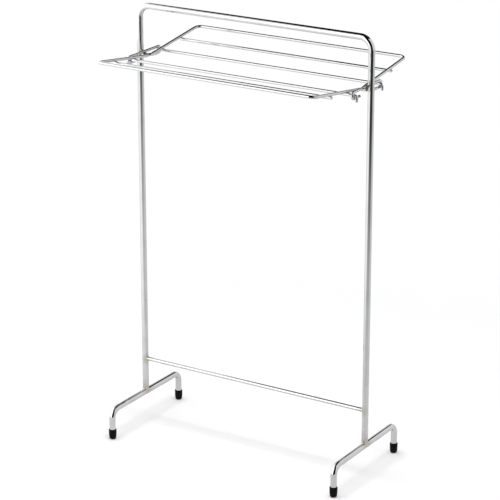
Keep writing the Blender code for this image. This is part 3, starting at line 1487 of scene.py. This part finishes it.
        # Painted shade with a dark floor: darker far out and beyond the stand in the dark sector, and darker
        # towards the right.
        far_shade = wiring.maths("MULTIPLY", beyond, self.far_shade)
        near_shade = wiring.maths("MULTIPLY", close, self.near_shade)
        shade = wiring.maths("ADD", far_shade, near_shade)
        dimmed = wiring.maths("MULTIPLY", sector, shade)
        right = round_ramp(-90, 20, 0.0, self.right_shade)
        glow = wiring.maths("SUBTRACT", glow, wiring.maths("MAXIMUM", dimmed, right))
        wiring.join(glow, shader.inputs["Emission Strength"])
        return material

    @staticmethod
    def card_material(
        name: str, colour: tuple[float, float, float], strength: float
    ) -> bpy.types.Material:
        """A plain card that is matt and may glow.

        Args:
            name: The material's name.
            colour: Its colour.
            strength: How brightly it glows.

        Returns:
            The new material.
        """
        material = bpy.data.materials.new(name)
        material.use_nodes = True
        shader = material.node_tree.nodes["Principled BSDF"]
        shader.inputs["Base Color"].default_value = (*colour, 1.0)
        shader.inputs["Roughness"].default_value = 1.0
        shader.inputs["Specular IOR Level"].default_value = 0.0
        shader.inputs["Emission Color"].default_value = (*colour, 1.0)
        shader.inputs["Emission Strength"].default_value = strength
        return material

    @staticmethod
    def turned_card(
        name: str,
        outline: list[tuple[float, float]],
        start: float,
        sweep: float,
        material: bpy.types.Material,
    ) -> bpy.types.Object:
        """Sweep an outline round the set into a card that only mirrors see.

        Args:
            name: The card's name.
            outline: The radii and heights of its outline.
            start: The angle at which it starts.
            sweep: How far round it goes.
            material: What it is made of.

        Returns:
            The card.
        """
        turn = math.radians(start)
        points = [Vector((r * math.cos(turn), r * math.sin(turn), z)) for r, z in outline]
        card = trace(name, points)
        steps = max(8, round(sweep / 4))
        bpy.ops.mesh.spin(steps=steps, angle=-math.radians(sweep), center=(0, 0, 0), axis=(0, 0, 1))
        return Studio.hang(card, material)

    @staticmethod
    def flat_card(
        name: str, outline: list[tuple[float, float]], height: float, material: bpy.types.Material
    ) -> bpy.types.Object:
        """Hang a level card over the set that only mirrors see.

        Args:
            name: The card's name.
            outline: The corners of its outline, seen from above.
            height: How high it hangs.
            material: What it is made of.

        Returns:
            The card.
        """
        card = trace(name, [Vector((x, y, height)) for x, y in outline])
        bpy.ops.mesh.edge_face_add()
        return Studio.hang(card, material)

    @staticmethod
    def hang(card: bpy.types.Object, material: bpy.types.Material) -> bpy.types.Object:
        """Finish a card, so that only mirrors see it.

        Args:
            card: The card, in edit mode.
            material: What it is made of.

        Returns:
            The same card.
        """
        bpy.ops.object.mode_set(mode="OBJECT")
        card.data.materials.append(material)
        card.visible_camera = False
        card.visible_diffuse = False
        card.visible_shadow = False
        card.visible_transmission = False
        return card


@dataclass
class Camera:
    """The camera, set by what it looks at and from how far."""

    azimuth: float = 31.89
    elevation: float = 19.25
    distance: float = 5.521
    aim: tuple[float, float, float] = (-0.0055, -0.0017, 0.5246)
    lens: float = 161.4
    sensor: float = 36.0

    def place(self) -> None:
        """Add the camera and make it the scene's."""
        turn, tilt = math.radians(self.azimuth), math.radians(self.elevation)
        back = Vector((math.sin(turn) * math.cos(tilt), -math.cos(turn) * math.cos(tilt), math.sin(tilt)))
        data = bpy.data.cameras.new("camera")
        data.lens = self.lens
        data.sensor_width = self.sensor
        data.clip_end = 200.0
        camera = bpy.data.objects.new("camera", data)
        camera.location = Vector(self.aim) + back * self.distance
        camera.rotation_euler = (-back).to_track_quat("-Z", "Y").to_euler()
        bpy.context.scene.collection.objects.link(camera)
        bpy.context.scene.camera = camera


# ---------------------------------------------------------------- building


def make_finishes(layout: Layout) -> Finishes:
    """Build the materials.

    Args:
        layout: Where the joints are.

    Returns:
        The finishes.
    """
    marks = polish_marks_group()
    heat = heat_group()
    foot_joint = (layout.upright_x, 0.0, layout.foot_bar_z + layout.foot_radius)
    rod_joint = (layout.upright_x - layout.tube_radius, 0.0, layout.cross_rod_z)
    arm_joint = (layout.bracket_x, 0.0, layout.arm_z)
    tube = Plating(
        "chrome_plated_tube",
        colour=(0.61, 0.615, 0.62),
        roughness=0.035,
        smudge=0.03,
        heat_joints=((foot_joint, 0.030), (rod_joint, 0.020), (arm_joint, 0.022)),
    )
    wire = Plating(
        "chrome_plated_wire",
        colour=(0.56, 0.563, 0.566),
        roughness=0.06,
        smudge=0.04,
        heat_joints=((arm_joint, 0.018),),
    )
    weld = Plating("chrome_plated_weld", colour=(0.55, 0.54, 0.51), roughness=0.16, smudge=0.08)
    rubber = Rubber(
        "moulded_black_rubber",
        colour=(0.0028, 0.0028, 0.0030),
        dust_colour=(0.012, 0.0115, 0.011),
        roughness=0.40,
        dust_height=0.005,
    )
    return Finishes(
        tube=tube.material(marks, heat),
        wire=wire.material(marks, heat),
        weld=weld.material(marks, heat),
        rubber=rubber.material(),
    )


def main() -> None:
    """Build the camera, the studio and the stand, in order."""
    logging.basicConfig(level=logging.INFO, format="%(message)s")
    Camera().place()
    layout = Layout.read()
    finishes = make_finishes(layout)
    TubeFrame(layout).build(finishes)
    Ferrules(layout).build(finishes)
    HingeBrackets(layout).build(finishes)
    for end in End:
        Rack(layout, end).build(finishes)
    Welds(layout).build(finishes)
    Studio().build()
    select_none()


if __name__ == "__main__":
    main()
